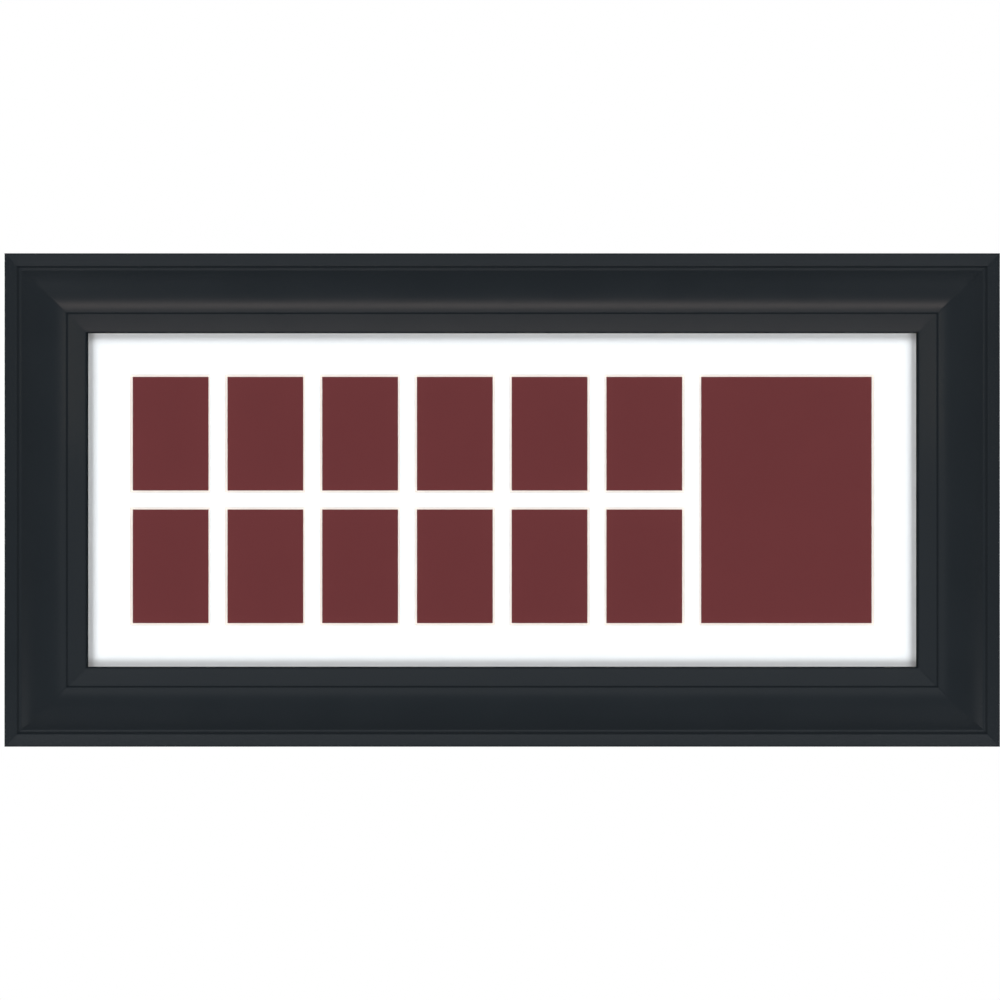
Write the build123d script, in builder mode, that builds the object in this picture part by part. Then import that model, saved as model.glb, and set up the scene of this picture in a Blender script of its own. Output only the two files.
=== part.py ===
from build123d import *
import os
from math import cos, radians, sin

# A wall-hung collage photo frame, in millimetres.
# X runs to the right, Z runs up, and the front of the frame faces -Y.
# The origin lies on the wall behind the middle of the frame.

# Collage mat: two rows of small openings, then one large opening at the right
OPENING_WIDTH = 50.8
OPENING_HEIGHT = 76.2
LARGE_OPENING_WIDTH = 114.3
COLUMNS = 6
ROWS = 2
MAT_BAR = 12.7
MAT_BORDER = 31.75
MAT_THICKNESS = 1.5
MAT_BEVEL_ANGLE = 45

# The other layers of the picture pack
GLAZING_THICKNESS = 2.0
PHOTO_THICKNESS = 0.3
PHOTO_GAP = 0.4
BACKING_THICKNESS = 4.0
PACK_CLEARANCE = 0.1

# Moulding section, from the outer edge to the sight edge
OUTER_LIP_WIDTH = 8.4
OUTER_LIP_FALL = 0.5
OUTER_EDGE_RADIUS = 1.2
QUIRK_WIDTH = 1.1
QUIRK_DEPTH = 0.4
SHOULDER_WIDTH = 1.7
SHOULDER_DROP = 1.4
SCOOP_WIDTH = 26.0
SCOOP_DROP = 9.0
SHELF_WIDTH = 0.6
SHELF_DROP = 1.1
SIGHT_BAND_WIDTH = 12.1
SIGHT_LIP_THICKNESS = 5.0
SIGHT_EDGE_RADIUS = 0.9
ARRIS_RADIUS = 0.25
LIP_COVER = 3.0
RABBET_CLEARANCE = 1.6

# V-nails across the mitres
V_NAIL_LEG = 6.0
V_NAIL_GAUGE = 0.6
V_NAIL_DEPTH = 9.0
V_NAIL_SETBACKS = (22.0, 36.0)
V_NAIL_STAND = 0.15
V_NAIL_CLEARANCE = 0.03

# Pan-head wood screws
SCREW_RADIUS = 1.75
SCREW_LENGTH = 11.0
SCREW_TIP = 3.0
SCREW_HEAD_RADIUS = 3.4
SCREW_HEAD_HEIGHT = 2.2
SCREW_HEAD_RIM = 0.7
RECESS_LENGTH = 3.8
RECESS_WIDTH = 0.9
RECESS_DEPTH = 1.2
PILOT_CLEARANCE = 0.03

# Turn buttons that hold the backing board
BUTTON_THICKNESS = 1.2
BUTTON_PIVOT_RADIUS = 5.5
BUTTON_TIP_RADIUS = 3.5
BUTTON_REACH = 16.0
BUTTON_SETBACK = 9.0
BUTTON_SPACING = 180.0
LONG_SIDE_BUTTON_COUNT = 3
SHORT_SIDE_BUTTON_COUNT = 1
BUTTON_EDGE_RADIUS = 0.3
RUNNING_CLEARANCE = 0.08

# Hangers: a folded strap on each side rail, with a D-ring in its loop
HANGER_HEIGHT = 88.0
HANGER_SETBACK = 23.0
STRAP_GAUGE = 1.0
STRAP_WIDTH = 9.0
STRAP_NECK = 4.5
STRAP_TAIL = 6.5
STRAP_END_RADIUS = 3.5
RING_WIRE_RADIUS = 1.25
RING_HALF_WIDTH = 8.0
RING_CORNER_RADIUS = 3.0
RING_LEAN = 3.0
RING_CLEARANCE = 0.1
HANGER_HEAD_CLEARANCE = 0.6

# Rubber bumpers at the lower back corners
BUMPER_THICKNESS = 5.0
BUMPER_RADIUS = 6.0
BUMPER_TAPER = 8.0
BUMPER_EDGE_RADIUS = 0.9
BUMPER_INSET = 15.0

# Mat and card sizes follow from the layout of the openings
large_opening_height = ROWS * OPENING_HEIGHT + (ROWS - 1) * MAT_BAR
column_pitch = OPENING_WIDTH + MAT_BAR
row_pitch = OPENING_HEIGHT + MAT_BAR
layout_width = COLUMNS * column_pitch + LARGE_OPENING_WIDTH
mat_width = layout_width + 2 * MAT_BORDER
mat_height = large_opening_height + 2 * MAT_BORDER
small_group_x = (COLUMNS * column_pitch - MAT_BAR - layout_width) / 2
large_opening_x = (layout_width - LARGE_OPENING_WIDTH) / 2

# Heights are measured forward from the backs of the rails
photo_back = PACK_CLEARANCE + BACKING_THICKNESS
mat_back = photo_back + PHOTO_THICKNESS
glazing_back = mat_back + MAT_THICKNESS
rabbet_depth = glazing_back + GLAZING_THICKNESS
sight_height = rabbet_depth + SIGHT_LIP_THICKNESS
shelf_height = sight_height + SHELF_DROP
shoulder_height = shelf_height + SCOOP_DROP
lip_height = shoulder_height + SHOULDER_DROP

# Distances across the moulding are measured inward from its outer edge
scoop_start = OUTER_LIP_WIDTH + QUIRK_WIDTH + SHOULDER_WIDTH
scoop_end = scoop_start + SCOOP_WIDTH
shelf_edge = scoop_end + SHELF_WIDTH
sight_band_start = shelf_edge + QUIRK_WIDTH
moulding_width = sight_band_start + SIGHT_BAND_WIDTH
rabbet_wall = moulding_width - LIP_COVER - RABBET_CLEARANCE
quirk_radius = min(ARRIS_RADIUS, QUIRK_WIDTH / 3, QUIRK_DEPTH / 3)

# Half sizes of the frame, and the plane of the rails' backs
half_width = mat_width / 2 - LIP_COVER + moulding_width
half_height = mat_height / 2 - LIP_COVER + moulding_width
rail_back = -BUMPER_THICKNESS

# The folded-down ring lies round the upper screw's head and stops short of the lower one's
ring_axis_height = STRAP_GAUGE + RING_CLEARANCE + RING_WIRE_RADIUS
head_room = SCREW_HEAD_RADIUS + HANGER_HEAD_CLEARANCE
upper_screw_drop = STRAP_NECK + STRAP_GAUGE / 2 + head_room
ring_reach = upper_screw_drop + head_room + RING_WIRE_RADIUS
lower_screw_drop = ring_reach + RING_WIRE_RADIUS + head_room
strap_length = lower_screw_drop + STRAP_TAIL
ring_side = ring_reach - RING_HALF_WIDTH

# Each side has an inward direction, a running direction, its half length and its half distance out
BACKWARD = Vector(0, 1, 0)
FORWARD = Vector(0, -1, 0)
RIGHTWARD = Vector(1, 0, 0)
UPWARD = Vector(0, 0, 1)
SIDES = {
    "top": (-UPWARD, RIGHTWARD, half_width, half_height),
    "bottom": (UPWARD, RIGHTWARD, half_width, half_height),
    "left": (RIGHTWARD, UPWARD, half_height, half_width),
    "right": (-RIGHTWARD, UPWARD, half_height, half_width),
}


def layer_plane(height):
    """A plane facing the front, at a height in front of the rails' backs."""
    return Plane(origin=(0, rail_back - height, 0), x_dir=RIGHTWARD, z_dir=FORWARD)


def back_plane(side, along, setback):
    """A plane on a rail's back, facing the wall, with its x axis pointing to the frame's middle."""
    inward, run, _, half_distance = SIDES[side]
    from_middle = half_distance - rabbet_wall + setback
    origin = BACKWARD * rail_back - inward * from_middle + run * along
    return Plane(origin=origin, x_dir=inward, z_dir=BACKWARD)


def v_nail_planes(side):
    """Planes on the backs for the V-nails at the two mitres of a rail, opening to the frame's middle."""
    inward, run, half_length, half_distance = SIDES[side]
    planes = []
    for end in (-1, 1):
        corner = BACKWARD * rail_back - inward * half_distance + run * (end * half_length)
        diagonal = inward - run * end
        for setback in V_NAIL_SETBACKS:
            planes.append(Plane(origin=corner + diagonal * setback, x_dir=diagonal, z_dir=BACKWARD))
    return planes


def button_planes(side):
    """Planes on a rail's back at the pivots of its turn buttons, in running order."""
    count = LONG_SIDE_BUTTON_COUNT if side in ("top", "bottom") else SHORT_SIDE_BUTTON_COUNT
    middle = (count - 1) / 2
    return [back_plane(side, (index - middle) * BUTTON_SPACING, BUTTON_SETBACK) for index in range(count)]


def hanger_screw_planes(side):
    """Planes on a side rail's back at the two screws of its hanger strap."""
    drops = (upper_screw_drop, lower_screw_drop)
    return [back_plane(side, HANGER_HEIGHT - drop, HANGER_SETBACK) for drop in drops]


def v_nail_section(plane, clearance):
    """Draw a V-nail's bent strip on a plane, widened by a clearance."""
    reach = V_NAIL_LEG * cos(radians(45))
    with BuildSketch(plane) as section:
        with BuildLine():
            Polyline((reach, reach), (0, 0), (reach, -reach))
        trace(line_width=V_NAIL_GAUGE + 2 * clearance)
    return section.sketch


def moulding_section(plane):
    """Draw the moulding's section: x runs inward from the outer edge, y forward from the back."""
    with BuildSketch(plane) as section:
        with BuildLine():
            FilletPolyline(
                (0, 0),
                (0, lip_height - OUTER_LIP_FALL),
                (OUTER_LIP_WIDTH, lip_height),
                (OUTER_LIP_WIDTH, shoulder_height - QUIRK_DEPTH),
                (OUTER_LIP_WIDTH + QUIRK_WIDTH, shoulder_height - QUIRK_DEPTH),
                (OUTER_LIP_WIDTH + QUIRK_WIDTH, shoulder_height),
                (scoop_start, shoulder_height),
                radius=[OUTER_EDGE_RADIUS, ARRIS_RADIUS, quirk_radius, quirk_radius, quirk_radius],
            )
            TangentArc((scoop_end, shelf_height), (scoop_start, shoulder_height), tangent=(-1, 0))
            FilletPolyline(
                (scoop_end, shelf_height),
                (shelf_edge, shelf_height),
                (shelf_edge, sight_height - QUIRK_DEPTH),
                (sight_band_start, sight_height - QUIRK_DEPTH),
                (sight_band_start, sight_height),
                (moulding_width, sight_height),
                (moulding_width, rabbet_depth),
                (rabbet_wall, rabbet_depth),
                (rabbet_wall, 0),
                (0, 0),
                radius=[ARRIS_RADIUS, quirk_radius, quirk_radius, quirk_radius, SIGHT_EDGE_RADIUS, 0, 0, 0],
            )
        make_face()
    return section.sketch


def add_screw(seat):
    """Add a pan-head wood screw to the part being built, with its head resting on a plane."""
    turned = Plane(origin=seat.origin, x_dir=seat.x_dir, z_dir=-seat.y_dir)
    with BuildSketch(turned) as outline:
        with BuildLine():
            Polyline(
                (0, SCREW_HEAD_HEIGHT),
                (0, -SCREW_LENGTH),
                (SCREW_RADIUS, SCREW_TIP - SCREW_LENGTH),
                (SCREW_RADIUS, 0),
                (SCREW_HEAD_RADIUS, 0),
                (SCREW_HEAD_RADIUS, SCREW_HEAD_RIM),
            )
            TangentArc((0, SCREW_HEAD_HEIGHT), (SCREW_HEAD_RADIUS, SCREW_HEAD_RIM), tangent=(1, 0))
        make_face()
    revolve(outline.sketch, axis=Axis(seat.origin, seat.z_dir))
    with BuildSketch(seat.offset(SCREW_HEAD_HEIGHT)) as recess:
        Rectangle(RECESS_LENGTH, RECESS_WIDTH)
        Rectangle(RECESS_WIDTH, RECESS_LENGTH)
    extrude(recess.sketch, amount=-RECESS_DEPTH, mode=Mode.SUBTRACT)


def save(part, name):
    """Label a finished piece and write its file."""
    part.label = name
    export_step(part, f"parts/{name}.step")


os.makedirs("parts", exist_ok=True)

# The four rails: lengths of the moulding, mitred at both ends, with their nail and screw holes
pilot_radius = SCREW_RADIUS + PILOT_CLEARANCE
for side, (inward, run, half_length, half_distance) in SIDES.items():
    edge = BACKWARD * rail_back - inward * half_distance
    pilot_planes = button_planes(side)
    if side in ("left", "right"):
        pilot_planes = pilot_planes + hanger_screw_planes(side)
    with BuildPart() as rail:
        section = moulding_section(Plane(origin=edge, x_dir=inward, z_dir=inward.cross(FORWARD)))
        extrude(section, amount=half_length, both=True)
        for end in (-1, 1):
            mitre = Plane(origin=edge + run * (end * half_length), z_dir=inward + run * end)
            split(bisect_by=mitre, keep=Keep.BOTTOM)
        for plane in v_nail_planes(side):
            extrude(v_nail_section(plane, V_NAIL_CLEARANCE), amount=-V_NAIL_DEPTH, mode=Mode.SUBTRACT)
        for plane in pilot_planes:
            with BuildSketch(plane):
                Circle(pilot_radius)
            extrude(amount=-SCREW_LENGTH, mode=Mode.SUBTRACT)
    save(rail.part, f"{side}_rail")

# V-nails: bent steel strips pressed in across the mitres, standing just proud of the rails' backs
with BuildPart() as v_nails:
    for side in ("top", "bottom"):
        for plane in v_nail_planes(side):
            section = v_nail_section(plane.offset(V_NAIL_STAND), 0)
            extrude(section, amount=-V_NAIL_DEPTH - V_NAIL_STAND)
save(v_nails.part, "corner_v_nails")

# Clear acrylic facing, against the underside of the rails' lips
with BuildPart() as glazing:
    with BuildSketch(layer_plane(glazing_back)):
        Rectangle(mat_width, mat_height)
    extrude(amount=GLAZING_THICKNESS)
save(glazing.part, "glazing")

# Collage mat: the openings widen towards the front along a bevel
with BuildPart() as mat:
    with BuildSketch(layer_plane(mat_back)):
        Rectangle(mat_width, mat_height)
    extrude(amount=MAT_THICKNESS)
    with BuildSketch(layer_plane(mat_back)):
        with Locations((small_group_x, 0)):
            with GridLocations(column_pitch, row_pitch, COLUMNS, ROWS):
                Rectangle(OPENING_WIDTH, OPENING_HEIGHT)
        with Locations((large_opening_x, 0)):
            Rectangle(LARGE_OPENING_WIDTH, large_opening_height)
    extrude(amount=MAT_THICKNESS, taper=-MAT_BEVEL_ANGLE, mode=Mode.SUBTRACT)
save(mat.part, "collage_mat")

# Photo cards: each overlaps its opening by half a bar, less a small gap to the next card
card_spots = {}
for row in range(ROWS):
    for column in range(COLUMNS):
        x = small_group_x + (column - (COLUMNS - 1) / 2) * column_pitch
        z = ((ROWS - 1) / 2 - row) * row_pitch
        card_spots[f"photo_card_{row + 1}_{column + 1}"] = (x, z, OPENING_WIDTH, OPENING_HEIGHT)
card_spots["large_photo_card"] = (large_opening_x, 0, LARGE_OPENING_WIDTH, large_opening_height)
for name, (x, z, opening_width, opening_height) in card_spots.items():
    with BuildPart() as card:
        with BuildSketch(layer_plane(photo_back)):
            with Locations((x, z)):
                Rectangle(opening_width + MAT_BAR - PHOTO_GAP, opening_height + MAT_BAR - PHOTO_GAP)
        extrude(amount=PHOTO_THICKNESS)
    save(card.part, name)

# Corrugated backing board, just inside the plane of the rails' backs
with BuildPart() as backing:
    with BuildSketch(layer_plane(PACK_CLEARANCE)):
        Rectangle(mat_width, mat_height)
    extrude(amount=BACKING_THICKNESS)
save(backing.part, "backing_board")

# Turn buttons: flat steel tongues that turn on their screws, over the edge of the backing
button_seats = []
for side in SIDES:
    for number, plane in enumerate(button_planes(side), start=1):
        with BuildPart() as button:
            with BuildSketch(plane.offset(RUNNING_CLEARANCE)):
                Circle(BUTTON_PIVOT_RADIUS)
                with Locations((BUTTON_REACH, 0)):
                    Circle(BUTTON_TIP_RADIUS)
                make_hull()
                Circle(SCREW_RADIUS + RUNNING_CLEARANCE, mode=Mode.SUBTRACT)
            extrude(amount=BUTTON_THICKNESS)
            rim = button.faces().sort_by(Axis.Y)[-1].outer_wire()
            fillet(rim.edges(), radius=BUTTON_EDGE_RADIUS)
        save(button.part, f"turn_button_{side}_{number}")
        button_seats.append(plane.offset(BUTTON_THICKNESS + 2 * RUNNING_CLEARANCE))

# The screws that the turn buttons pivot on
with BuildPart() as button_screws:
    for seat in button_seats:
        add_screw(seat)
save(button_screws.part, "turn_button_screws")

# Hangers: a strap folded round the straight bar of its D-ring, ring upwards
for side in ("left", "right"):
    foot = back_plane(side, HANGER_HEIGHT, HANGER_SETBACK).origin
    profile_plane = Plane(origin=foot, x_dir=-UPWARD, z_dir=RIGHTWARD)
    with BuildPart() as strap:
        with BuildSketch(profile_plane):
            with Locations((0, ring_axis_height)):
                Circle(ring_axis_height)
            with Locations((STRAP_NECK, STRAP_GAUGE)):
                Rectangle(STRAP_GAUGE, 2 * STRAP_GAUGE)
            make_hull()
            with Locations((strap_length / 2, STRAP_GAUGE)):
                Rectangle(strap_length, 2 * STRAP_GAUGE)
            with Locations((0, ring_axis_height)):
                Circle(RING_WIRE_RADIUS + RING_CLEARANCE, mode=Mode.SUBTRACT)
        extrude(amount=STRAP_WIDTH / 2, both=True)
        for plane in hanger_screw_planes(side):
            with BuildSketch(plane):
                Circle(SCREW_RADIUS + RUNNING_CLEARANCE)
            extrude(amount=2 * STRAP_GAUGE, mode=Mode.SUBTRACT)
        end_corners = strap.edges().filter_by(Axis.Y).sort_by(Axis.Z)[:2]
        fillet(end_corners, radius=min(STRAP_END_RADIUS, STRAP_WIDTH / 2.1))
    save(strap.part, f"{side}_hanger_strap")

    lean = radians(RING_LEAN)
    ring_up = UPWARD * cos(lean) + FORWARD * sin(lean)
    bar_middle = foot + BACKWARD * ring_axis_height
    ring_plane = Plane(origin=bar_middle, x_dir=RIGHTWARD, z_dir=RIGHTWARD.cross(ring_up))
    with BuildPart() as ring:
        with BuildLine(ring_plane) as ring_path:
            FilletPolyline(
                (RING_HALF_WIDTH, ring_side),
                (RING_HALF_WIDTH, 0),
                (-RING_HALF_WIDTH, 0),
                (-RING_HALF_WIDTH, ring_side),
                radius=RING_CORNER_RADIUS,
            )
            ThreePointArc(
                (-RING_HALF_WIDTH, ring_side),
                (0, ring_reach),
                (RING_HALF_WIDTH, ring_side),
            )
        start = bar_middle + RIGHTWARD * RING_HALF_WIDTH + ring_up * ring_side
        with BuildSketch(Plane(origin=start, x_dir=RIGHTWARD, z_dir=ring_up)):
            Circle(RING_WIRE_RADIUS)
        sweep(path=ring_path.wire())
    save(ring.part, f"{side}_hanger_ring")

with BuildPart() as hanger_screws:
    for side in ("left", "right"):
        for plane in hanger_screw_planes(side):
            add_screw(plane.offset(2 * STRAP_GAUGE))
save(hanger_screws.part, "hanger_screws")

# Rubber bumpers glued to the lower back corners; their flat ends touch the wall
for side, direction in (("left", -1), ("right", 1)):
    spot = Vector(direction * (half_width - BUMPER_INSET), rail_back, BUMPER_INSET - half_height)
    with BuildPart() as bumper:
        with BuildSketch(Plane(origin=spot, x_dir=RIGHTWARD, z_dir=BACKWARD)):
            Circle(BUMPER_RADIUS)
        extrude(amount=BUMPER_THICKNESS, taper=BUMPER_TAPER)
        fillet(bumper.faces().sort_by(Axis.Y)[-1].edges(), radius=BUMPER_EDGE_RADIUS)
    save(bumper.part, f"{side}_bumper")
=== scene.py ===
import bpy
import numpy as np
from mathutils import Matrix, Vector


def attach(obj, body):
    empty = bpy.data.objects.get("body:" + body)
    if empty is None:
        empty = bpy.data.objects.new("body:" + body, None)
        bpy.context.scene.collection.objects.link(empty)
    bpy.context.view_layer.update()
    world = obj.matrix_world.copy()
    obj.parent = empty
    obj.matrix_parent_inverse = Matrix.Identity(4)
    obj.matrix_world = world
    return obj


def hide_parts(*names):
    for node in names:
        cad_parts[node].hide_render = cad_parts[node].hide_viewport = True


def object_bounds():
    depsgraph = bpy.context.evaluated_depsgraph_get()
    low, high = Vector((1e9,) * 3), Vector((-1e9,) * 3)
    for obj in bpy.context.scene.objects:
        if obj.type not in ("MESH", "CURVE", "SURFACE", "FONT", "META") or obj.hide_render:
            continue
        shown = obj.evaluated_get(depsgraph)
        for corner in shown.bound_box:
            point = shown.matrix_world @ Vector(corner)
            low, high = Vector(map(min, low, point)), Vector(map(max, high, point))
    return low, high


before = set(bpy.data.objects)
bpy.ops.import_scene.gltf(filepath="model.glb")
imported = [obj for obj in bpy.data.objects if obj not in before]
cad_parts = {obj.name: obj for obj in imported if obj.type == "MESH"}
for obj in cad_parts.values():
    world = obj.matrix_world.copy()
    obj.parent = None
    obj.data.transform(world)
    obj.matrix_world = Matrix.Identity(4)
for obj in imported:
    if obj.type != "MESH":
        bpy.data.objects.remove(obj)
cad_box = [[float(x) for x in corner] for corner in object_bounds()]

# Rails: four lengths of one scooped softwood moulding, mitred, glued and nailed at the corners.
# The face and the outer edge are sprayed satin black, and the spray lands dry on the sight edge's wall.
# The back and the rabbet stay raw wood, with a little overspray along their edges.
half_width, half_height = cad_box[1][0], cad_box[1][2]
rail_back = -0.005
moulding_width, rabbet_wall, rabbet_depth = 0.0510, 0.0464, 0.0079
lip_width, lip_height, lip_fall = 0.0084, 0.0244, 0.0005
groove_foot, groove_rim, groove_sink = 0.00975, 0.0105, 0.0001
shoulder_height, shelf_height, sight_height = 0.0230, 0.0140, 0.0129
scoop_start, scoop_end, shelf_edge, sight_band_start = 0.0112, 0.0372, 0.0378, 0.03876
scoop_lead, scoop_points = 0.03, 56
back_start, back_end = 0.015, 0.030
# The easings are the corners' radii, from the back round the lip, and from the shelf round the rabbet.
outer_easing = [0.0005, 0.0012, 0.0006, 0.0005, 0.0015, 0.0006]
inner_easing = [0.0004, 0.0004, 0.0009, 0.0003, 0.0002, 0.0004]
overspray_reach, overspray_fade, rabbet_fade = 0.0032, 0.0040, 0.0012
straight_rows, clear_of_mitre = 25, 0.004
mitre_rows, mitre_shrink = np.array([0.0, 0.00015, 0.0005]), 0.00005
forward = np.array([0.0, -1.0, 0.0])
# Each side has its direction inward, its distance from the middle and half its length.
sides = {
    "top": (np.array([0.0, 0.0, -1.0]), half_height, half_width),
    "bottom": (np.array([0.0, 0.0, 1.0]), half_height, half_width),
    "left": (np.array([1.0, 0.0, 0.0]), half_width, half_height),
    "right": (np.array([-1.0, 0.0, 0.0]), half_width, half_height),
}


def eased_line(corners, radii, steps=8, lead=0.00008):
    """An open line whose inner corners become arcs that touch both their edges.

    An arc's centre lies on the corner's bisector, at radius / sin(half the corner's angle). Its points
    turn evenly from one touching point to the other, with a point a lead before it and one a lead after.
    """
    corners = np.asarray(corners, float)
    radii = np.asarray(radii, float)[:, None]
    middle = corners[1:-1]
    before = corners[:-2] - middle
    before /= np.linalg.norm(before, axis=1, keepdims=True)
    after = corners[2:] - middle
    after /= np.linalg.norm(after, axis=1, keepdims=True)
    half = np.arccos(np.clip((before * after).sum(1, keepdims=True), -1, 1)) / 2
    bisector = before + after
    bisector /= np.linalg.norm(bisector, axis=1, keepdims=True)
    centre = middle + bisector * radii / np.sin(half)
    touch = radii / np.tan(half)
    first = middle + before * touch - centre
    last = middle + after * touch - centre
    turn = (np.pi - 2 * half)[:, :, None]
    share = np.linspace(0, 1, steps)[None, :, None]
    arc = np.sin((1 - share) * turn) * first[:, None] + np.sin(share * turn) * last[:, None]
    arc = centre[:, None] + arc / np.sin(turn)
    lead_in = (middle + before * (touch + lead))[:, None]
    lead_out = (middle + after * (touch + lead))[:, None]
    eased = np.concatenate([lead_in, arc, lead_out], axis=1).reshape(-1, corners.shape[1])
    return np.concatenate([corners[:1], eased, corners[-1:]])


def surface(name, grid, closed=(False, True), capped=True, uv=None):
    """A smooth closed mesh over grids of points, shaped (copies, rows, columns, 3).

    Each cell between four neighbouring points is a face that looks along column step x row step. Rows or
    columns may close on themselves, and the first and last row can be capped with one flat face each.
    """
    copies, rows, columns = grid.shape[:3]
    index = np.arange(copies * rows * columns).reshape(copies, rows, columns)
    around = np.concatenate([index, index[:, :1]], axis=1) if closed[0] else index
    around = np.concatenate([around, around[:, :, :1]], axis=2) if closed[1] else around
    cells = [around[:, :-1, :-1], around[:, :-1, 1:], around[:, 1:, 1:], around[:, 1:, :-1]]
    faces = np.stack(cells, axis=-1).reshape(-1, 4).tolist()
    smooth = [True] * len(faces)
    if capped:
        faces += index[:, 0, ::-1].tolist() + index[:, -1].tolist()
        smooth += [False] * (2 * copies)
    mesh = bpy.data.meshes.new(name)
    mesh.from_pydata(grid.reshape(-1, 3).tolist(), [], faces)
    mesh.polygons.foreach_set("use_smooth", smooth)
    if uv is not None:
        corners = [uv[:, :-1, :-1], uv[:, :-1, 1:], uv[:, 1:, 1:], uv[:, 1:, :-1]]
        spread = np.stack(corners, axis=-2).reshape(-1, 2)
        ends = np.concatenate([uv[:, 0, :columns][:, ::-1], uv[:, -1, :columns]]).reshape(-1, 2)
        layer = mesh.uv_layers.new(name="length_and_girth")
        layer.data.foreach_set("uv", np.concatenate([spread, ends] if capped else [spread]).ravel())
    piece = bpy.data.objects.new(name, mesh)
    bpy.context.scene.collection.objects.link(piece)
    return piece


def new_finish(name):
    """A material with one Principled shader, a function that adds a node and one that sets an end node.

    Both functions take inputs by name: a socket is linked to the input, and any other value is set on it.
    """
    finish = bpy.data.materials.new(name)
    finish.use_nodes = True
    tree = finish.node_tree

    def feed(target, inputs):
        for key, value in inputs.items():
            if isinstance(value, bpy.types.NodeSocket):
                tree.links.new(value, target.inputs[key])
            else:
                target.inputs[key].default_value = value

    def node(kind, inputs, **settings):
        made = tree.nodes.new(kind)
        for key, value in settings.items():
            setattr(made, key, value)
        feed(made, inputs)
        return made

    def shade(inputs, end="Principled BSDF"):
        feed(tree.nodes[end], inputs)

    return finish, node, shade


def noise(node, place, scale, detail):
    """Cloudy values between 0 and 1, finer with the scale and rougher with the detail."""
    return node("ShaderNodeTexNoise", {"Vector": place, "Scale": scale, "Detail": detail}).outputs["Fac"]


def mixed(node, share, first, second):
    """A colour on the way from the first to the second, by a share from 0 to 1."""
    colours = {"Factor": share, "A": first, "B": second}
    return node("ShaderNodeMix", colours, data_type="RGBA").outputs["Result"]


def ramp(node, share, *ends):
    """A colour between two ends, each with its position and its colour, and steady beyond them."""
    made = node("ShaderNodeValToRGB", {"Fac": share})
    for element, (position, colour) in zip(made.color_ramp.elements, ends):
        element.position = position
        element.color = colour
    return made.outputs["Color"]


def between(node, value, low, high, start=0.0, end=1.0):
    """A number that goes from low to high as the value goes from start to end, and is steady beyond."""
    spans = {"Value": value, "From Min": start, "From Max": end, "To Min": low, "To Max": high}
    return node("ShaderNodeMapRange", spans).outputs["Result"]


def bumps(node, height, strength, depth):
    """A normal tilted by the slope of the height, which counts times the depth."""
    slope = {"Height": height, "Strength": strength, "Distance": depth}
    return node("ShaderNodeBump", slope).outputs["Normal"]


scoop_width, scoop_drop = scoop_end - scoop_start, shoulder_height - shelf_height
scoop_radius = (scoop_width ** 2 + scoop_drop ** 2) / (2 * scoop_drop)
scoop_turn = np.arcsin(scoop_width / scoop_radius) - scoop_lead
scoop_turn = np.linspace(scoop_turn, 0, scoop_points, endpoint=False)
scoop = np.stack([
    scoop_end - scoop_radius * np.sin(scoop_turn),
    shelf_height + scoop_radius * (1 - np.cos(scoop_turn)),
], axis=1)
outer_part = eased_line([
    (back_start, 0),
    (0, 0),
    (0, lip_height - lip_fall),
    (lip_width, lip_height),
    (groove_foot, shoulder_height - groove_sink),
    (groove_rim, shoulder_height),
    (scoop_start, shoulder_height),
    scoop[0],
], outer_easing)
inner_part = eased_line([
    (scoop_end, shelf_height),
    (shelf_edge, shelf_height),
    (sight_band_start, sight_height),
    (moulding_width, sight_height),
    (moulding_width, rabbet_depth),
    (rabbet_wall, rabbet_depth),
    (rabbet_wall, 0),
    (back_end, 0),
], inner_easing)
outline = np.concatenate([outer_part[:-1], scoop, inner_part])
outline_step = np.roll(outline, -1, axis=0) - np.roll(outline, 1, axis=0)
outline_normal = np.stack([-outline_step[:, 1], outline_step[:, 0]], axis=1)
outline_normal /= np.linalg.norm(outline_normal, axis=1, keepdims=True)
girth = np.linalg.norm(np.roll(outline, -1, axis=0) - outline, axis=1)
girth = np.concatenate([[0.0], np.cumsum(girth)])
sight_edge, sight_foot = (
    girth[np.argmin(np.linalg.norm(outline - (moulding_width, height), axis=1))]
    for height in (sight_height, rabbet_depth)
)
dry = (girth[:-1] >= sight_edge) & (girth[:-1] < sight_foot)
sprayed_outside = np.clip((girth[:-1] - back_start + overspray_reach) / overspray_fade, 0, 1)
sprayed_inside = np.clip((sight_foot - girth[:-1]) / rabbet_fade + 0.5, 0, 1)
sprayed = np.minimum(sprayed_outside, sprayed_inside)


def mitred_rail(name, inward, half_distance, half_length):
    """The moulding's outline carried along one side of the frame.

    Each point of the outline stops short of the corner by its distance inward, which cuts the ends at 45
    degrees. Over the last fraction of a millimetre the outline shrinks, as eased edges do at a glued joint.
    """
    run = np.cross(forward, inward)
    straight = half_length - moulding_width - clear_of_mitre
    straight = np.linspace(-straight, straight, straight_rows)[:, None] + np.zeros(len(outline))
    cut = half_length - outline[:, 0] - mitre_rows[:, None]
    along = np.concatenate([-cut, straight, cut[::-1]])
    shrink = np.zeros((len(along), 1, 1))
    shrink[[0, -1]] = mitre_shrink
    section = outline - outline_normal * shrink
    grid = inward * section[..., :1] + forward * section[..., 1:] + run * along[..., None]
    grid += np.array([0.0, rail_back, 0.0]) - inward * half_distance
    uv = np.stack(np.broadcast_arrays(np.concatenate([along, along[:, :1]], axis=1), girth), axis=-1)
    piece = surface(name, grid[None], uv=uv[None])
    coat = piece.data.attributes.new("sprayed", "FLOAT", "POINT")
    coat.data.foreach_set("value", np.broadcast_to(sprayed, along.shape).ravel())
    finish = np.append(np.tile(dry, len(along) - 1), [False, False])
    piece.data.polygons.foreach_set("material_index", finish.astype(np.int32))
    return piece


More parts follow.
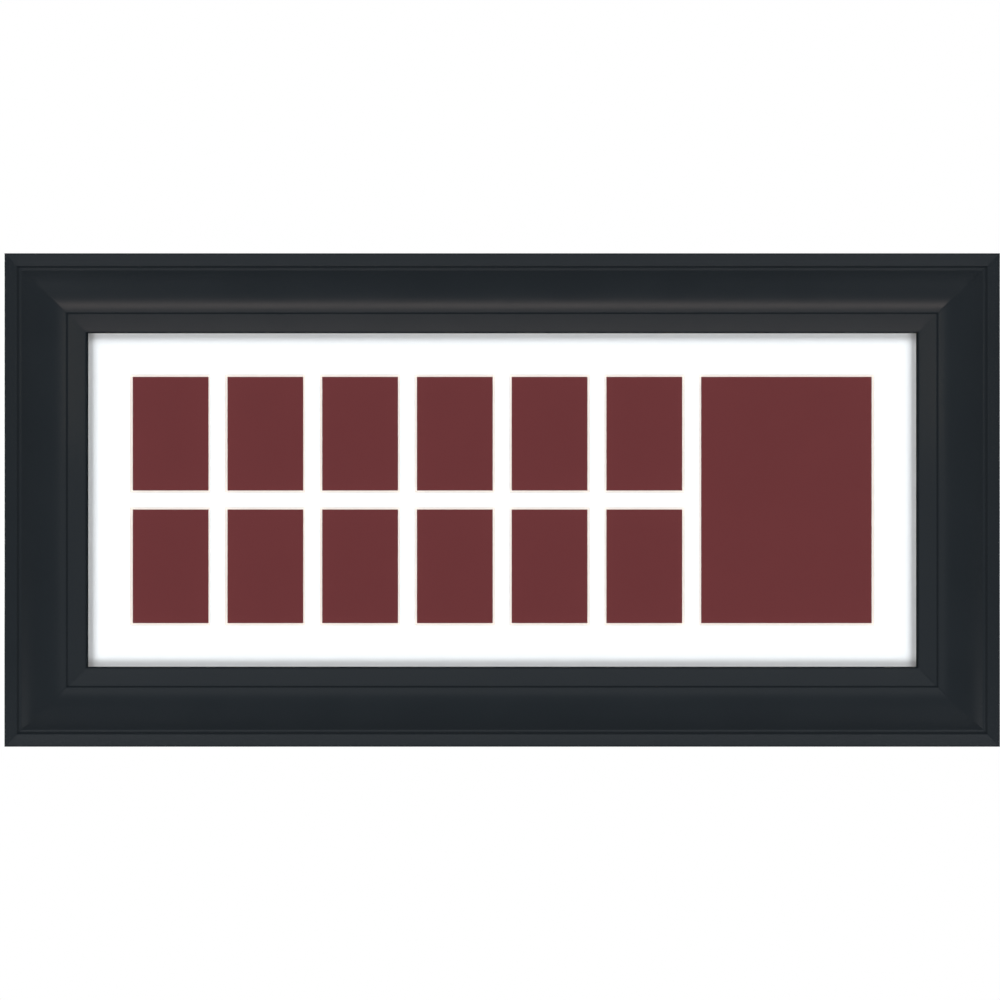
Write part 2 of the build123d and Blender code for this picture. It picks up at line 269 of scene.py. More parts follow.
lacquer, node, shade = new_finish("satin_black_lacquer")
place = node("ShaderNodeTexCoord", {}).outputs["UV"]
streaks = node("ShaderNodeMapping", {"Vector": place, "Scale": (14.0, 900.0, 1.0)}).outputs["Vector"]
grain = noise(node, streaks, 1.0, 5.0)
bare_wood = ramp(node, grain, (0.32, (0.33, 0.20, 0.10, 1)), (0.66, (0.62, 0.46, 0.29, 1)))
cloud = noise(node, place, 24.0, 3.0)
black = mixed(node, cloud, (0.0082, 0.0110, 0.0136, 1), (0.0103, 0.0134, 0.0163, 1))
mist = noise(node, place, 2600.0, 2.0)
mask = node("ShaderNodeAttribute", {}, attribute_name="sprayed").outputs["Fac"]
mask = node("ShaderNodeMath", {0: mist, 1: 0.7, 2: mask}, operation="MULTIPLY_ADD").outputs["Value"]
mask = node("ShaderNodeMapRange", {"Value": mask, "From Min": 0.55, "From Max": 0.95},
            interpolation_type="SMOOTHSTEP").outputs["Result"]
satin = between(node, cloud, 0.23, 0.29)
peel = noise(node, place, 900.0, 2.0)
uneven = node("ShaderNodeMix", {"Factor": mask, "A": grain, "B": peel}).outputs["Result"]
shade({
    "Base Color": mixed(node, mask, bare_wood, black),
    "Roughness": node("ShaderNodeMix", {"Factor": mask, "A": 0.78, "B": satin}).outputs["Result"],
    "Normal": bumps(node, uneven, 0.25, 0.00003),
})

dry_spray, node, shade = new_finish("dry_black_spray")
place = node("ShaderNodeTexCoord", {}).outputs["UV"]
dust = noise(node, place, 1400.0, 3.0)
shade({
    "Base Color": mixed(node, dust, (0.0075, 0.0100, 0.0125, 1), (0.0110, 0.0140, 0.0165, 1)),
    "Normal": bumps(node, dust, 0.4, 0.00004),
    "Roughness": 1.0,
    "Specular IOR Level": 0.05,
})

rails = {}
for side, (inward, half_distance, half_length) in sides.items():
    piece = mitred_rail(f"{side}_moulding", inward, half_distance, half_length)
    rails[side] = piece
    piece.data.materials.append(lacquer)
    piece.data.materials.append(dry_spray)
    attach(piece, "frame")
    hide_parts(f"{side}_rail")

# Corner nails: bent strips of zinc-plated steel, pressed into the backs of the rails across each mitre.
# They stand a hair proud of the wood.
zinc, node, shade = new_finish("zinc_plate")
place = node("ShaderNodeTexCoord", {}).outputs["Object"]
bloom = noise(node, place, 700.0, 4.0)
shade({
    "Base Color": mixed(node, bloom, (0.52, 0.54, 0.55, 1), (0.68, 0.68, 0.66, 1)),
    "Roughness": between(node, bloom, 0.26, 0.44),
    "Normal": bumps(node, bloom, 0.2, 0.00002),
    "Metallic": 1.0,
})


def dress(name, finish):
    """Gives a CAD node one finish."""
    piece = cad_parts[name]
    piece.data.materials.clear()
    piece.data.materials.append(finish)


dress("corner_v_nails", zinc)

# Facing: one sheet of clear acrylic, cut to the rabbet and laid against the back of the sight edge.
# It mirrors a few hundredths of the light face on, and more towards a grazing look.
facing_front, facing_back, facing_easing = -0.01286, -0.01096, 0.00025
mirrored_face_on, mirrored_edge_on = 0.03, 0.93
mat_half_width, mat_half_height = 0.2794, 0.1143


def clear_sheet(name):
    """A sheet with eased edges: a section across its thickness, carried round the sheet's four sides.

    Each row is a rectangle, set in by the section's easing and lying at the section's depth.
    """
    turn = np.linspace(0, np.pi / 2, 5)
    inset = facing_easing * np.concatenate([1 - np.sin(turn), 1 - np.cos(turn)])
    depth = np.concatenate([
        facing_front + facing_easing * (1 - np.cos(turn)),
        facing_back - facing_easing * (1 - np.sin(turn)),
    ])
    corner = np.array([(-1, -1), (-1, 1), (1, 1), (1, -1)])
    half = np.array([mat_half_width, mat_half_height]) - inset[:, None]
    flat = corner * half[:, None]
    grid = np.stack(np.broadcast_arrays(flat[..., 0], depth[:, None], flat[..., 1]), axis=-1)
    piece = surface(name, grid[None])
    piece.data.shade_flat()
    return piece


acrylic, node, shade = new_finish("clear_acrylic_sheet")
edge_on = node("ShaderNodeLayerWeight", {"Blend": 0.5}).outputs["Facing"]
edge_on = node("ShaderNodeMath", {0: edge_on, 1: 5.0}, operation="POWER").outputs["Value"]
mirrored = between(node, edge_on, mirrored_face_on, mirrored_edge_on)
see_through = node("ShaderNodeBsdfTransparent", {"Color": (0.995, 1.0, 0.998, 1)}).outputs["BSDF"]
gloss = node("ShaderNodeBsdfGlossy", {"Roughness": 0.03}).outputs["BSDF"]
sheet = node("ShaderNodeMixShader", {0: mirrored, 1: see_through, 2: gloss}).outputs["Shader"]
shade({"Surface": sheet}, end="Material Output")
piece = clear_sheet("clear_facing")
piece.data.materials.append(acrylic)
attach(piece, "frame")
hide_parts("glazing")

# Collage mat: white-faced board with a cream core, cut with thirteen windows whose edges are bevelled.
# The bevels widen towards the front and show the core between the face paper and the backing paper.
mat_front, mat_back = -0.0109, -0.0094
mat_border, mat_bar = 0.03175, 0.0127
window_width, large_window_width = 0.0508, 0.1143
window_columns = 6
face_paper = 0.00012
paper_blend = 0.4 * face_paper
bevel = mat_back - mat_front
windows_right, windows_top = mat_half_width - mat_border, mat_half_height - mat_border
window_left = (window_width + mat_bar) * np.arange(window_columns) - windows_right
window_right = np.append(window_left + window_width, windows_right)
window_left = np.append(window_left, windows_right - large_window_width)


def windowed_board(name):
    """A board with bevelled windows, on the grid of lines that the windows' edges draw across it.

    On the front each line stands one bevel further out from its window than on the back. Cells outside the
    windows make the front and the back, and each line between board and gap makes a wall.
    """
    window_sides = np.stack([window_left, window_right], axis=1).ravel()
    across = np.concatenate([[-mat_half_width], window_sides, [mat_half_width]])
    half_bar = mat_bar / 2
    upward = np.array([-mat_half_height, -windows_top, -half_bar, half_bar, windows_top, mat_half_height])
    outset_across = bevel * np.concatenate([[0], np.tile([-1, 1], len(window_left)), [0]])
    outset_upward = bevel * np.array([0, -1, 1, -1, 1, 0])
    shape = (len(across), len(upward))
    front_x, front_z = np.meshgrid(across + outset_across, upward + outset_upward, indexing="ij")
    back_x, back_z = np.meshgrid(across, upward, indexing="ij")
    points = np.concatenate([
        np.stack([front_x, np.full(shape, mat_front), front_z], axis=-1).reshape(-1, 3),
        np.stack([back_x, np.full(shape, mat_back), back_z], axis=-1).reshape(-1, 3),
    ])
    front = np.arange(len(across) * len(upward)).reshape(shape)
    back = front + front.size
    large_window = 2 * window_columns + 1
    board = np.ones((len(across) - 1, len(upward) - 1), bool)
    board[1:large_window:2, 1::2] = False
    board[large_window, 1:4] = False
    edged = np.pad(board, 1)
    before_x, after_x = edged[:-1, 1:-1], edged[1:, 1:-1]
    before_z, after_z = edged[1:-1, :-1], edged[1:-1, 1:]
    face = np.stack([front[:-1, :-1], front[1:, :-1], front[1:, 1:], front[:-1, 1:]], axis=-1)[board]
    rear = np.stack([back[:-1, :-1], back[:-1, 1:], back[1:, 1:], back[1:, :-1]], axis=-1)[board]
    upright = np.stack([front[:, :-1], back[:, :-1], back[:, 1:], front[:, 1:]], axis=-1)
    level = np.stack([front[:-1], front[1:], back[1:], back[:-1]], axis=-1)
    walls = [upright[before_x & ~after_x], upright[~before_x & after_x][:, ::-1]]
    walls += [level[before_z & ~after_z], level[~before_z & after_z][:, ::-1]]
    mesh = bpy.data.meshes.new(name)
    mesh.from_pydata(points.tolist(), [], np.concatenate([face, rear, *walls]).tolist())
    piece = bpy.data.objects.new(name, mesh)
    bpy.context.scene.collection.objects.link(piece)
    return piece


mat_board, node, shade = new_finish("white_mat_board")
place = node("ShaderNodeTexCoord", {}).outputs["Object"]
depth = node("ShaderNodeSeparateXYZ", {"Vector": place}).outputs["Y"]
paper_foot, paper_top = mat_front + face_paper, mat_back - face_paper
under_face = between(node, depth, 0.0, 1.0, paper_foot - paper_blend, paper_foot + paper_blend)
over_back = between(node, depth, 1.0, 0.0, paper_top - paper_blend, paper_top + paper_blend)
core = node("ShaderNodeMath", {0: under_face, 1: over_back}, operation="MULTIPLY").outputs["Value"]
fibre = noise(node, place, 1500.0, 4.0)
white = mixed(node, fibre, (0.775, 0.788, 0.815, 1), (0.800, 0.813, 0.840, 1))
cream = mixed(node, fibre, (0.95, 0.865, 0.80, 1), (0.985, 0.905, 0.845, 1))
shade({
    "Base Color": mixed(node, core, white, cream),
    "Normal": bumps(node, fibre, 0.3, 0.00003),
    "Roughness": 0.9,
    "Specular IOR Level": 0.15,
})
piece = windowed_board("windowed_mat")
piece.data.materials.append(mat_board)
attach(piece, "frame")
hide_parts("collage_mat")

# Photo cards: thirteen plain printed cards, one behind each window, that stand in for photographs.
# The print is a flat maroon on smooth white card.
card_front = mat_back
ink_depth, ink_blend = 0.00002, 0.00004
card, node, shade = new_finish("maroon_print")
place = node("ShaderNodeTexCoord", {}).outputs["Object"]
depth = node("ShaderNodeSeparateXYZ", {"Vector": place}).outputs["Y"]
behind = between(node, depth, 0.0, 1.0, card_front + ink_depth, card_front + ink_depth + ink_blend)
ink_cloud = noise(node, place, 30.0, 6.0)
ink = mixed(node, ink_cloud, (0.1085, 0.0234, 0.0258, 1), (0.1150, 0.0250, 0.0274, 1))
tooth = noise(node, place, 2200.0, 2.0)
shade({
    "Base Color": mixed(node, behind, ink, (0.82, 0.81, 0.78, 1)),
    "Normal": bumps(node, tooth, 0.15, 0.00001),
    "Roughness": 0.6,
    "Specular IOR Level": 0.15,
})
for name in sorted(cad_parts):
    if "photo_card" in name:
        dress(name, card)

# Backing board: brown corrugated board that presses the cards and the mat against the facing.
# Its flutes run upright and show through the liner as faint ridges, with painted shade: lighter on each
# ridge, darker in the sink between.
board_back, board_front = -0.0051, -0.0091
flute_pitch, flute_sink, flute_points = 0.0066, 0.00020, 761
drift_middle, drift_swing, slow_drift, quick_drift = 0.75, 0.25, 37, 91
cut_rows = np.array([0.0, 0.0002, 0.0006])


def fluted_board(name):
    """A board whose back sinks between the flutes by a raised cosine of the distance across.

    The depth of the sink drifts slowly from flute to flute, by the product of two sines. The section is
    carried up the board's height, with close rows at both cut edges that keep the shading flat.
    """
    across = np.linspace(mat_half_width, -mat_half_width, flute_points)
    drift = drift_middle + drift_swing * np.sin(slow_drift * across) * np.sin(quick_drift * across + 1.0)
    sink = flute_sink * drift * 0.5 * (1 - np.cos(2 * np.pi * across / flute_pitch))
    section = np.concatenate([
        np.stack([across, board_back - sink], axis=1),
        [(-mat_half_width, board_front), (mat_half_width, board_front)],
    ])
    cut = mat_half_height - cut_rows
    upward = np.concatenate([-cut, cut[::-1]])[:, None]
    grid = np.stack(np.broadcast_arrays(section[:, 0], section[:, 1], upward), axis=-1)
    return surface(name, grid[None])


kraft, node, shade = new_finish("kraft_corrugated_board")
place = node("ShaderNodeTexCoord", {}).outputs["Object"]
streaks = node("ShaderNodeMapping", {"Vector": place, "Scale": (2400.0, 2400.0, 900.0)}).outputs["Vector"]
fibre = noise(node, streaks, 1.0, 6.0)
stain = noise(node, place, 9.0, 3.0)
sideways = node("ShaderNodeSeparateXYZ", {"Vector": place}).outputs["X"]
# Painted shade: a cosine across the flutes, in step with the relief, lightens each ridge and darkens each
# sink.
flute_turn = {0: sideways, 1: 2 * np.pi / flute_pitch}
flute_turn = node("ShaderNodeMath", flute_turn, operation="MULTIPLY").outputs["Value"]
painted_flute_shade = node("ShaderNodeMath", {0: flute_turn}, operation="COSINE").outputs["Value"]
pulp_and_flute_shade = node("ShaderNodeMath", {0: stain, 1: 0.6, 2: fibre}, operation="MULTIPLY_ADD").outputs["Value"]
pulp_and_flute_shade = node("ShaderNodeMath", {0: painted_flute_shade, 1: 0.07, 2: pulp_and_flute_shade}, operation="MULTIPLY_ADD").outputs["Value"]
shade({
    "Base Color": ramp(node, pulp_and_flute_shade, (0.40, (0.25, 0.155, 0.080, 1)), (1.0, (0.50, 0.35, 0.205, 1))),
    "Normal": bumps(node, fibre, 0.3, 0.00003),
    "Roughness": 0.85,
    "Specular IOR Level": 0.2,
})
piece = fluted_board("fluted_backing")
piece.data.materials.append(kraft)
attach(piece, "frame")
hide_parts("backing_board")

# Turn buttons: steel tongues stamped from strip, zinc plated, with a pressed finger rib.
# Each turns on its screw, off the rail and over the edge of the backing.
button_rise, button_thickness = 0.00008, 0.0012
pivot_radius, tip_radius, tip_reach = 0.0055, 0.0035, 0.016
button_hole, button_setback, button_spacing = 0.00183, 0.009, 0.18
button_easing, hole_easing = 0.0003, 0.0001
tip_points, pivot_points, side_points, top_rows = 25, 49, 17, 22
rib_middle, rib_half_length, rib_half_width = 0.0102, 0.0052, 0.0017
rib_height, rib_fullness = 0.00045, 0.7
backward = np.array([0.0, 1.0, 0.0])


def tongue(inset):
    """The button's outline set in by a distance: two arcs, at the pivot and the tip, joined by tangents."""
    lean = np.arccos((pivot_radius - tip_radius) / tip_reach)
    tip_angle = np.linspace(-lean, lean, tip_points)[:, None]
    pivot_angle = np.linspace(lean, 2 * np.pi - lean, pivot_points)[:, None]
    tip = (tip_radius - inset) * np.hstack([np.cos(tip_angle), np.sin(tip_angle)]) + (tip_reach, 0)
    pivot = (pivot_radius - inset) * np.hstack([np.cos(pivot_angle), np.sin(pivot_angle)])
    share = np.linspace(0, 1, side_points)[1:-1, None]
    there = tip[-1] + (pivot[0] - tip[-1]) * share
    back = pivot[-1] + (tip[0] - pivot[-1]) * share
    return np.concatenate([tip, there, pivot, back])


def at_height(ring, height):
    """A flat ring of points lifted to one height."""
    return np.hstack([ring, np.full((len(ring), 1), height)])


def turn_button(name, pivot, inward):
    """Rows of the outline: up the edge, over the top to the hole, down its wall and back underneath.

    On top the rows run straight from the edge to the hole, and rise over the rib by a dome's height.
    """
    rim = tongue(0)
    bearing = np.arctan2(rim[:, 1], rim[:, 0])[:, None]
    hole = np.hstack([np.cos(bearing), np.sin(bearing)])
    turn = np.linspace(0, np.pi / 2, 6)
    insets = np.concatenate([[hole_easing, 0.0], button_easing * (1 - np.cos(turn))])
    heights = np.concatenate([[0.0, hole_easing], button_thickness - button_easing * (1 - np.sin(turn))])
    edge = [at_height(tongue(inset), height) for inset, height in zip(insets, heights)]
    share = np.linspace(0, 1, top_rows)[1:, None, None]
    top = edge[-1][:, :2] * (1 - share) + hole * (button_hole + hole_easing) * share
    rib = 1 - ((top[..., :1] - rib_middle) / rib_half_length) ** 2 - (top[..., 1:] / rib_half_width) ** 2
    rib = rib_height * np.clip(rib, 0, 1) ** rib_fullness
    top = np.concatenate([top, button_thickness + rib], axis=-1)
    wall = [
        at_height(hole * button_hole, button_thickness - hole_easing),
        at_height(hole * button_hole, hole_easing),
        at_height(hole * (button_hole + hole_easing), 0.0),
    ]
    rows = np.concatenate([np.array(edge), top, np.array(wall)])
    side = np.cross(backward, inward)
    grid = rows[..., :1] * inward + rows[..., 1:2] * side + (rows[..., 2:] + button_rise) * backward + pivot
    return surface(name, grid[None], closed=(True, True), capped=False)


button_pivots = {}
for side, (inward, half_distance, half_length) in sides.items():
    long_side = side in ("top", "bottom")
    along = np.array([1.0, 0.0, 0.0]) if long_side else np.array([0.0, 0.0, 1.0])
    stops = (-button_spacing, 0.0, button_spacing) if long_side else (0.0,)
    for number, stop in enumerate(stops, start=1):
        pivot = along * stop + rail_back * backward - inward * (half_distance - rabbet_wall + button_setback)
        button_pivots[f"turn_button_{side}_{number}"] = (pivot, inward)
for name, (pivot, inward) in button_pivots.items():
    piece = turn_button(name.replace("turn_button", "pressed_button"), pivot, inward)
    piece.data.materials.append(zinc)
    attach(piece, name)
    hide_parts(name)

# Button screws: zinc-plated pan-head wood screws with a cross recess, driven into the backs of the rails.
# The buttons turn under their heads.
screw_radius, screw_length, screw_tip, screw_point = 0.00175, 0.011, 0.003, 0.0001
head_radius, head_height, head_rim, head_easing = 0.0034, 0.0022, 0.0007, 0.0002
dome_inset, dome_middle, rim_drop = 0.00005, 0.00004, 0.0001
dome_rows, screw_facets = 44, 96
recess_reach, recess_half_width, recess_depth, recess_rise = 0.0019, 0.00045, 0.0012, 0.6
arm_end_slope, arm_side_slope = 0.0002, 0.0001


def driven_screws(name, seats, turned):
    """A turned profile, one for each seat, from the point of the shank up to the middle of the head.

    The head's top is part of a sphere. Inside a cross of two arms it sinks, most in the middle, and the
    arms' sides slope over a tenth of a millimetre. Each cross is turned by its own angle.
    """
    dome_height = head_height - head_rim
    dome_radius = (head_radius ** 2 + dome_height ** 2) / (2 * dome_height)
    dome = np.linspace(head_radius - dome_inset, dome_middle, dome_rows)
    dome = np.stack([dome, head_height - dome_radius + np.sqrt(dome_radius ** 2 - dome ** 2)], axis=1)
    shank = np.array([
        (screw_point, -screw_length),
        (screw_radius, screw_tip - screw_length),
        (screw_radius, 0.0),
        (head_radius - head_easing, 0.0),
        (head_radius, head_easing),
        (head_radius, head_rim - rim_drop),
    ])
    profile = np.concatenate([shank, dome])
    radius, height = profile[:, :1], profile[:, 1:]
    angle = np.linspace(0, 2 * np.pi, screw_facets, endpoint=False)
    x, y = radius * np.cos(angle), radius * np.sin(angle)
    along_arm = np.clip((recess_reach - np.abs([x, y])) / arm_end_slope + 0.5, 0, 1)
    across_arm = np.clip((recess_half_width - np.abs([y, x])) / arm_side_slope + 0.5, 0, 1)
    cross = (along_arm * across_arm).max(axis=0)
    cross[:len(shank)] = 0
    lift = height - cross * recess_depth * (1 - recess_rise * np.hypot(x, y) / recess_reach)
    turned = np.asarray(turned, float)[:, None, None]
    right = x * np.cos(turned) - y * np.sin(turned)
    up = x * np.sin(turned) + y * np.cos(turned)
    grid = np.stack(np.broadcast_arrays(right, lift, -up), axis=-1) + np.asarray(seats)[:, None, None, :]
    return surface(name, grid)


button_top = (button_rise * 2 + button_thickness) * backward
button_seats = [pivot + button_top for pivot, inward in button_pivots.values()]
piece = driven_screws("button_pan_screws", button_seats, [0.3, 1.1, 0.8, 0.1, 1.4, 0.6, 0.95, 0.45])
piece.data.materials.append(zinc)
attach(piece, "frame")
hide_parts("turn_button_screws")

# Hanger straps: strips of nickel-plated steel folded double round the bar of a D-ring.
# Two screws through both layers hold each strap to the back of its side rail.
hanger_x, hanger_z = 0.304, 0.088
strap_half_width, strap_gauge, strap_length = 0.0045, 0.001, 0.026
strap_corner, strap_easing = 0.0035, 0.00028
strap_rows, strap_corner_rows = 150, 14
crimp_start, crimp_end, crimp_easing = 0.0012, 0.0046, 0.0024
bar_height = 0.00235
nickel, node, shade = new_finish("nickel_plate")
place = node("ShaderNodeTexCoord", {}).outputs["Object"]
haze = noise(node, place, 500.0, 3.0)
shade({
    "Base Color": mixed(node, haze, (0.66, 0.64, 0.60, 1), (0.74, 0.72, 0.68, 1)),
    "Roughness": between(node, haze, 0.16, 0.28),
    "Metallic": 1.0,
})


def measured(path, doubled=1e-8):
    """A path without its doubled points, and the distance along it to each point."""
    step = np.linalg.norm(np.diff(path, axis=0), axis=1)
    path = path[np.append(True, step > doubled)]
    return path, np.append(0.0, np.cumsum(np.linalg.norm(np.diff(path, axis=0), axis=1)))


def points_at(stops, path, travel):
    """The points that lie at given distances along a path, on straight lines between its own points."""
    return np.stack([np.interp(stops, travel, path[:, 0]), np.interp(stops, travel, path[:, 1])], axis=1)


def folded_strap(name, x):
    """A flat strip's rounded section carried along the fold: down the rail, round the bar and back again.

    Near its two ends the strip narrows along a quarter circle, which rounds its corners.
    """
    half_gauge = strap_gauge / 2
    loop = bar_height - half_gauge
    path, travel = measured(eased_line([
        (strap_length, half_gauge),
        (-loop, half_gauge),
        (-loop, bar_height + loop),
        (crimp_start, bar_height + loop),
        (crimp_end, 3 * half_gauge),
        (strap_length, 3 * half_gauge),
    ], [loop, loop, crimp_easing, crimp_easing], steps=24))
    corner = strap_corner * (1 - np.cos(np.linspace(0, np.pi / 2, strap_corner_rows)))
    even = np.linspace(strap_corner, travel[-1] - strap_corner, strap_rows)[1:-1]
    stops = np.concatenate([corner, even, travel[-1] - corner[::-1]])
    line = points_at(stops, path, travel)
    heading = np.gradient(line, axis=0)
    heading /= np.linalg.norm(heading, axis=1, keepdims=True)
    square = np.stack([-heading[:, 1], heading[:, 0]], axis=1)
    into_corner = np.clip(strap_corner - np.minimum(stops, travel[-1] - stops), 0, None)
    width = strap_half_width - strap_corner + np.sqrt(strap_corner ** 2 - into_corner ** 2)
    section = eased_line([
        (0, half_gauge),
        (1, half_gauge),
        (1, -half_gauge),
        (-1, -half_gauge),
        (-1, half_gauge),
        (0, half_gauge),
    ], [strap_easing] * 4, steps=5)[:-1]
    edge = np.clip(np.abs(section[:, 0]) - 1, None, 0)
    spread = np.sign(section[:, 0]) * np.where(np.abs(section[:, 0]) > 0.5, width[:, None] + edge, 0)
    down = line[:, None, 0] + square[:, None, 0] * section[:, 1]
    out = line[:, None, 1] + square[:, None, 1] * section[:, 1]
    grid = np.stack([x + spread, rail_back + out, hanger_z - down], axis=-1)
    return surface(name, grid[None])


for side, x in (("left", -hanger_x), ("right", hanger_x)):
    piece = folded_strap(f"{side}_folded_strap", x)
    piece.data.materials.append(nickel)
    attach(piece, "frame")
    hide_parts(f"{side}_hanger_strap")

# Hanger rings: steel wire bent to a D and nickel plated.
# The straight bar turns in the strap's loop, and at rest the bow leans a little towards the rail.
wire_radius, wire_rows, wire_facets = 0.00125, 180, 28
ring_half_width, ring_reach, ring_corner = 0.008, 0.01425, 0.003
ring_lean = np.radians(3)


def d_ring(name, x):
    """A round wire carried along a closed D: a bar with small corners, two sides and a half circle."""
    path, travel = measured(eased_line([
        (0, 0),
        (ring_half_width, 0),
        (ring_half_width, ring_reach),
        (-ring_half_width, ring_reach),
        (-ring_half_width, 0),
        (0, 0),
    ], [ring_corner, ring_half_width, ring_half_width, ring_corner], steps=28, lead=0.0))
    line = points_at(np.linspace(0, travel[-1], wire_rows, endpoint=False), path, travel)
    heading = np.roll(line, -1, axis=0) - np.roll(line, 1, axis=0)
    heading /= np.linalg.norm(heading, axis=1, keepdims=True)
    outward = np.stack([heading[:, 1], -heading[:, 0]], axis=1)
    turn = np.linspace(0, 2 * np.pi, wire_facets, endpoint=False)
    across = line[:, None, 0] + wire_radius * outward[:, None, 0] * np.cos(turn)
    up = line[:, None, 1] + wire_radius * outward[:, None, 1] * np.cos(turn)
    proud = np.broadcast_to(wire_radius * np.sin(turn), up.shape)
    rising = np.array([0.0, -np.sin(ring_lean), np.cos(ring_lean)])
    facing = np.array([0.0, np.cos(ring_lean), np.sin(ring_lean)])
    grid = across[..., None] * np.array([1.0, 0.0, 0.0]) + up[..., None] * rising - proud[..., None] * facing
    grid += np.array([x, rail_back + bar_height, hanger_z])
    return surface(name, grid[None], closed=(True, True), capped=False)


for side, x in (("left", -hanger_x), ("right", hanger_x)):
    piece = d_ring(f"{side}_wire_ring", x)
    piece.data.materials.append(nickel)
    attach(piece, f"{side}_hanger_ring")
    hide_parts(f"{side}_hanger_ring")

# Hanger screws: the same zinc-plated pan-head screws, two through each folded strap.
# They are driven into the side rail one above the other.
screw_drops = (0.009, 0.0195)
hanger_seats = [(x, rail_back + 2 * strap_gauge, hanger_z - drop)
                for x in (-hanger_x, hanger_x) for drop in screw_drops]
piece = driven_screws("hanger_pan_screws", hanger_seats, [0.7, 0.2, 1.3, 0.55])
piece.data.materials.append(zinc)
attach(piece, "frame")
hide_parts("hanger_screws")

# Bumpers: moulded black rubber feet, glued to the lower back corners of the frame.
# They keep its lower edge off the wall, and their ends are slightly dished.
bumper_radius, bumper_thickness, bumper_inset = 0.006, 0.005, 0.015
bumper_taper = np.radians(8)
bumper_easing = [0.0002, 0.0009, 0.0006, 0.0006]
rim_width, dish_inset, dish_sink, dish_middle_sink = 0.0016, 0.0022, 0.00025, 0.0003
bumper_middle, bumper_facets = 0.0001, 64
rubber, node, shade = new_finish("black_rubber")
place = node("ShaderNodeTexCoord", {}).outputs["Object"]
bloom = noise(node, place, 900.0, 3.0)
shade({
    "Base Color": mixed(node, bloom, (0.018, 0.018, 0.018, 1), (0.032, 0.031, 0.030, 1)),
    "Normal": bumps(node, bloom, 0.3, 0.00003),
    "Roughness": 0.7,
})


def rubber_foot(name, x):
    """A turned profile from the glued base, up a tapered side and an eased edge to a slightly dished end."""
    end_radius = bumper_radius - bumper_thickness * np.tan(bumper_taper)
    profile = eased_line([
        (bumper_middle, 0),
        (bumper_radius, 0),
        (end_radius, bumper_thickness),
        (end_radius - rim_width, bumper_thickness),
        (end_radius - dish_inset, bumper_thickness - dish_sink),
        (bumper_middle, bumper_thickness - dish_middle_sink),
    ], bumper_easing)
    angle = np.linspace(0, 2 * np.pi, bumper_facets, endpoint=False)
    radius, height = profile[:, :1], profile[:, 1:]
    seat = np.array([x, rail_back, bumper_inset - half_height])
    grid = np.stack(np.broadcast_arrays(radius * np.cos(angle), height, -radius * np.sin(angle)), axis=-1)
    return surface(name, (grid + seat)[None])


for side, x in (("left", bumper_inset - half_width), ("right", half_width - bumper_inset)):
    piece = rubber_foot(f"{side}_rubber_foot", x)
    piece.data.materials.append(rubber)
    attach(piece, "frame")
    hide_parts(f"{side}_bumper")

# Studio: a pale floor well below the hanging frame, a white room, and soft boxes that face the frame.
# Narrow strips close in front of the frame give each rail's lacquer a sheen of its own.
floor_height, floor_half_width, floor_near, floor_far = -1.7, 4.0, -4.5, 3.6
floor_mesh = bpy.data.meshes.new("studio_floor")
floor_mesh.from_pydata([
    (-floor_half_width, floor_near, floor_height),
    (floor_half_width, floor_near, floor_height),
    (floor_half_width, floor_far, floor_height),
    (-floor_half_width, floor_far, floor_height),
], [], [(0, 1, 2, 3)])
floor = bpy.data.objects.new("studio_floor", floor_mesh)
bpy.context.scene.collection.objects.link(floor)
pale, node, shade = new_finish("pale_floor")
shade({"Base Color": (0.86, 0.86, 0.86, 1), "Roughness": 0.9})
floor_mesh.materials.append(pale)
floor.visible_diffuse = False
floor.visible_glossy = False

world = bpy.data.worlds.new("white_room")
bpy.context.scene.world = world
world.use_nodes = True
room = world.node_tree
seen = room.nodes.new("ShaderNodeLightPath").outputs["Is Camera Ray"]
room_light = room.nodes.new("ShaderNodeMapRange")
room_light.inputs["To Min"].default_value = 0.10
room_light.inputs["To Max"].default_value = 1.0
room.links.new(seen, room_light.inputs["Value"])
room.links.new(room_light.outputs["Result"], room.nodes["Background"].inputs["Strength"])
room.nodes["Background"].inputs["Color"].default_value = (1, 1, 1, 1)


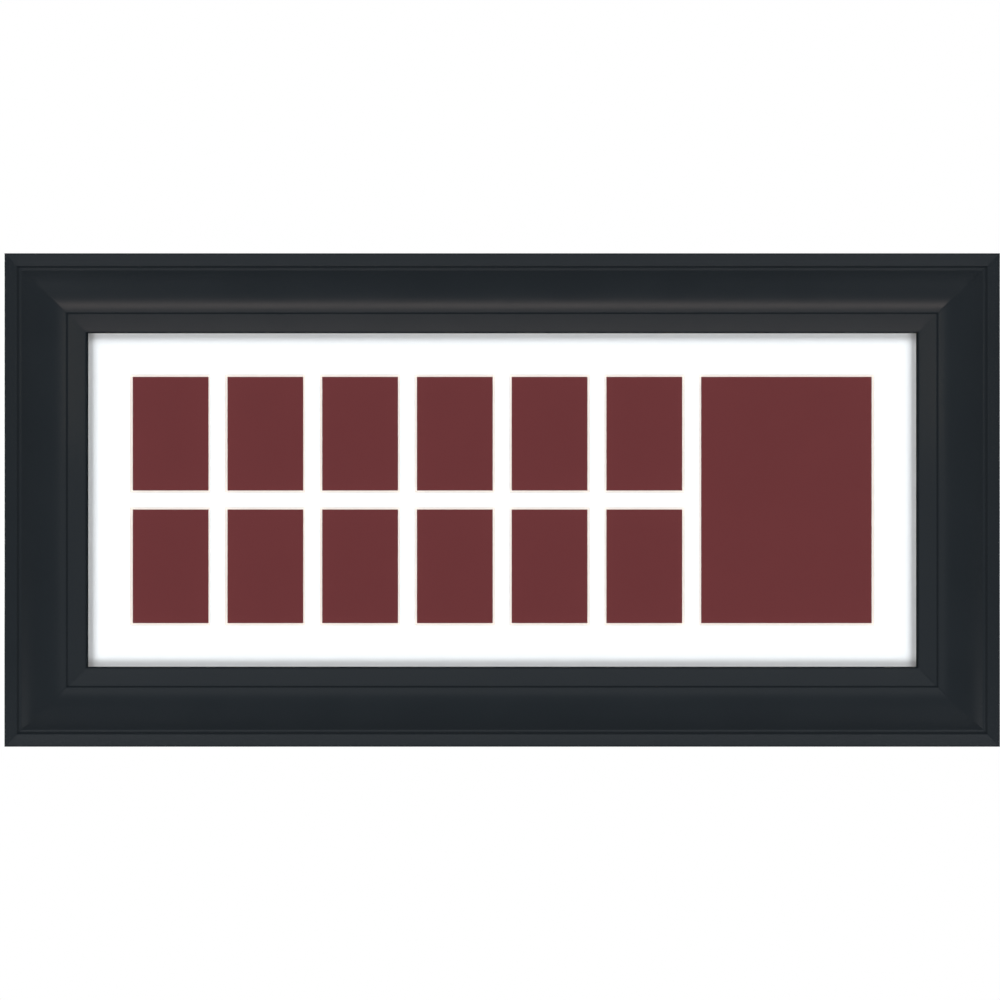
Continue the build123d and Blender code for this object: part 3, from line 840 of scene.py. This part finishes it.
def soft_box(name, place, size, power, colour=(1, 1, 1), aim=(0, 0, 0), glossy=True, sheen_on=()):
    """A rectangular lamp that faces a point: it leans up by the rise and turns by the bearing to that point.

    It can leave gloss out, or give some pieces a sheen and no more.
    """
    lamp = bpy.data.lights.new(name, "AREA")
    lamp.shape = "RECTANGLE"
    lamp.size, lamp.size_y = size
    lamp.energy = power
    lamp.color = colour
    holder = bpy.data.objects.new(name, lamp)
    x, y, z = np.subtract(aim, place)
    holder.rotation_euler = (np.pi / 2 + np.arctan2(z, np.hypot(x, y)), 0, np.arctan2(-x, y))
    holder.location = place
    holder.visible_camera = False
    holder.visible_glossy = glossy
    bpy.context.scene.collection.objects.link(holder)
    if sheen_on:
        holder.visible_diffuse = False
        holder.light_linking.receiver_collection = bpy.data.collections.new(name)
        for piece in sheen_on:
            holder.light_linking.receiver_collection.objects.link(piece)


for across, back_power in ((-1, 36), (1, 16)):
    for up in (-1, 1):
        corner = (0.98 * across, -1.22, 0.98 * up)
        soft_box("corner_box", corner, size=(0.8, 0.8), power=18.1, glossy=False)
    soft_box("back_box", (1.5 * across, 2.0, 0.15), size=(2.0, 0.8), power=back_power)
    soft_box("low_box", (1.2 * across, -1.05, -0.64), size=(0.6, 0.5), power=0.67, sheen_on=rails.values())
soft_box("floor_box", (0, 0, -0.6), size=(11.0, 11.0), power=400, aim=(0, 0.001, floor_height))
strip_y = -0.28
warm, amber, cool = (1.0, 0.85, 0.78), (1.0, 0.81, 0.58), (0.96, 0.98, 1.0)
for name, x, z, size, power, colour, side in (
    ("top_strip", 0, 0.114, (0.84, 0.030), 0.213, warm, "top"),
    ("top_edge_strip", 0, 0.216, (0.86, 0.028), 0.050, cool, "top"),
    ("bottom_strip", 0, -0.138, (0.84, 0.040), 0.051, cool, "bottom"),
    ("bottom_edge_strip", 0, -0.212, (0.86, 0.028), 0.078, cool, "bottom"),
    ("left_strip", -0.348, 0, (0.045, 0.40), 0.0163, cool, "left"),
    ("right_strip", 0.348, 0, (0.045, 0.40), 0.0163, cool, "right"),
    ("left_upper_strip", -0.355, 0.110, (0.045, 0.124), 0.044, amber, "left"),
    ("right_upper_strip", 0.355, 0.110, (0.045, 0.124), 0.044, amber, "right"),
):
    soft_box(name, (x, strip_y, z), size, power, colour, aim=(x, 0, z), sheen_on=[rails[side]])

photo_camera = bpy.data.cameras.new("photo_camera")
photo_camera.sensor_width = 36
photo_camera.sensor_fit = "AUTO"
photo_camera.lens = 53.2
photo_camera.shift_x = -0.0022
camera = bpy.data.objects.new("photo_camera", photo_camera)
camera.location = (0, -1.0, 0)
camera.rotation_euler = (np.pi / 2, 0, 0)
bpy.context.scene.collection.objects.link(camera)
bpy.context.scene.camera = camera
bpy.context.scene.view_settings.view_transform = "Standard"
